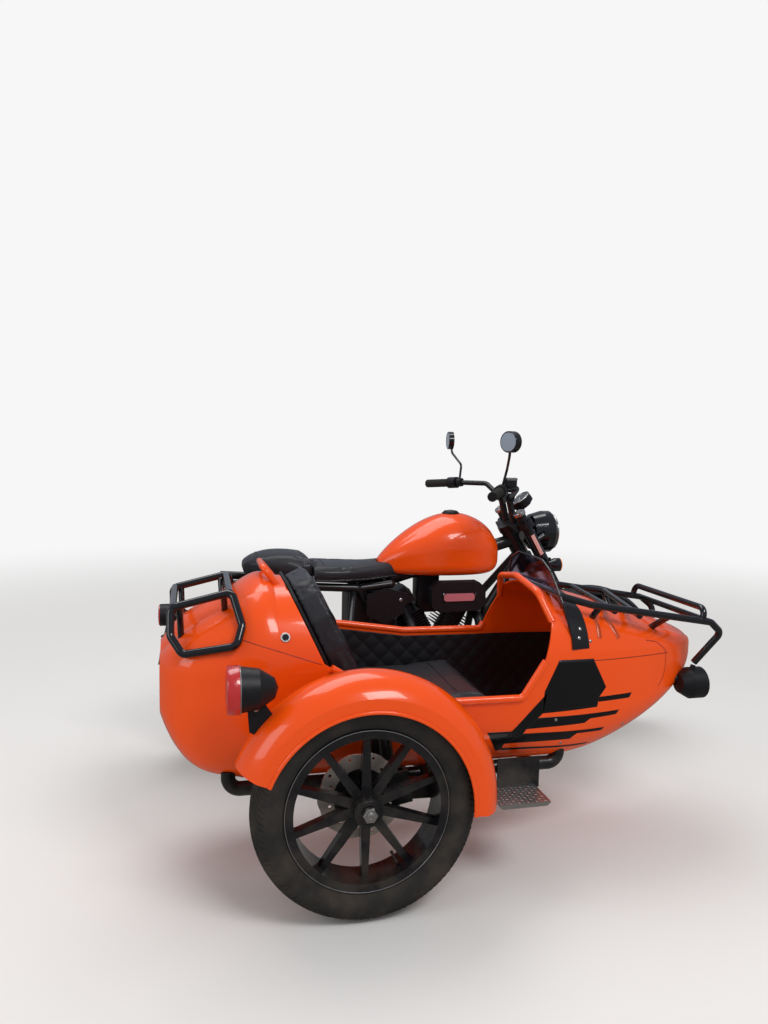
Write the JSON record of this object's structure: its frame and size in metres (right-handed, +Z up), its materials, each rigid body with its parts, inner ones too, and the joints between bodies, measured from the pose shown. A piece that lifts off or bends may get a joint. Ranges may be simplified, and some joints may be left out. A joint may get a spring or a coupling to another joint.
{
  "type": "cruiser motorcycle with sidecar",
  "caption": "Cruiser motorcycle with a boat-shaped sidecar fixed on its right, racks, smoked screen, cast wheels and a folding seat back.",
  "frame": {"origin": "bottom centre of the whole outfit's box, on the ground", "axes": "+X forward, the longest way; +Y to the rider's left; +Z up, the shortest way"},
  "size_m": [2.1015, 1.6568, 1.286],
  "materials": {
    "orange_paint": "gloss enamel",
    "black_paint": "semi-gloss black",
    "engine_black": "satin black castings",
    "rim_black": "gloss black cast rim",
    "bare_steel": "brushed",
    "cast_aluminium": "cast, chequered",
    "chain_steel": "oiled",
    "black_plastic": "moulded, fine grain",
    "gloss_black_plastic": "gloss",
    "smoked_screen": "smoked tint",
    "tyre_rubber": "worn rubber",
    "black_vinyl": "grained vinyl"
  },
  "bodies": {
    "chassis": {"frame": "black_paint", "engine": "engine_black", "air_cleaner": "black_plastic", "radiator": "black_plastic", "exhaust": "black_paint", "fuel_tank": "orange_paint", "rider_seat": "black_vinyl", "pillion_seat": "black_vinyl", "side_covers": "black_plastic", "swingarm": "black_paint", "rear_shocks": "black_paint", "rear_fender": "black_plastic", "tail_lamp": "black_plastic", "drive_chain": "chain_steel", "foot_pegs": "black_paint", "sidecar_tail": "orange_paint", "sidecar_tub": "orange_paint", "sidecar_nose": "orange_paint", "cockpit_rim": "orange_paint", "sidecar_seat": "black_vinyl", "windscreen": "smoked_screen", "screen_base": "black_plastic", "front_rack": "black_paint", "fog_lamps": "black_plastic", "rear_rack": "black_paint", "grab_handle": "orange_paint", "sidecar_fender": "orange_paint", "fender_lamp": "black_plastic", "sidecar_chassis": "black_paint", "wheel_arm": "black_paint", "step_hanger": "black_paint", "step_tread": "cast_aluminium", "struts": "black_paint"},
    "steering": {"fork": "black_paint", "front_caliper": "black_paint", "handlebar": "black_paint", "hand_controls": "black_plastic", "mirrors": "gloss_black_plastic", "headlight": "gloss_black_plastic", "instrument": "black_plastic", "front_fender": "black_plastic"},
    "front_wheel": {"front_tyre": "tyre_rubber", "front_rim": "rim_black", "front_disc": "bare_steel"},
    "rear_wheel": {"rear_tyre": "tyre_rubber", "rear_rim": "rim_black", "rear_disc": "bare_steel"},
    "sidecar_wheel": {"sidecar_tyre": "tyre_rubber", "sidecar_rim": "rim_black", "sidecar_disc": "bare_steel"},
    "backrest": {"backrest_board": "black_plastic", "backrest_cushion": "black_vinyl"}
  },
  "joints": [
    {"name": "steering_turn", "type": "hinge", "parent": "chassis", "child": "steering", "pos_m": [0.71279, 0.41157, 0.2765], "axis": [-0.5, 0, 0.866], "range_deg": [-35, 35]},
    {"name": "front_wheel_spin", "type": "hinge", "parent": "steering", "child": "front_wheel", "pos_m": [0.75176, 0.41157, 0.299], "axis": [0, 1, 0], "continuous": true},
    {"name": "rear_wheel_spin", "type": "hinge", "parent": "chassis", "child": "rear_wheel", "pos_m": [-0.64824, 0.41157, 0.3105], "axis": [0, 1, 0], "continuous": true},
    {"name": "sidecar_wheel_spin", "type": "hinge", "parent": "chassis", "child": "sidecar_wheel", "pos_m": [-0.48824, -0.73843, 0.299], "axis": [0, 1, 0], "continuous": true},
    {"name": "backrest_fold", "type": "hinge", "parent": "chassis", "child": "backrest", "pos_m": [-0.45759, -0.34343, 0.5325], "axis": [0, 1, 0], "range_deg": [0, 100]}
  ]
}
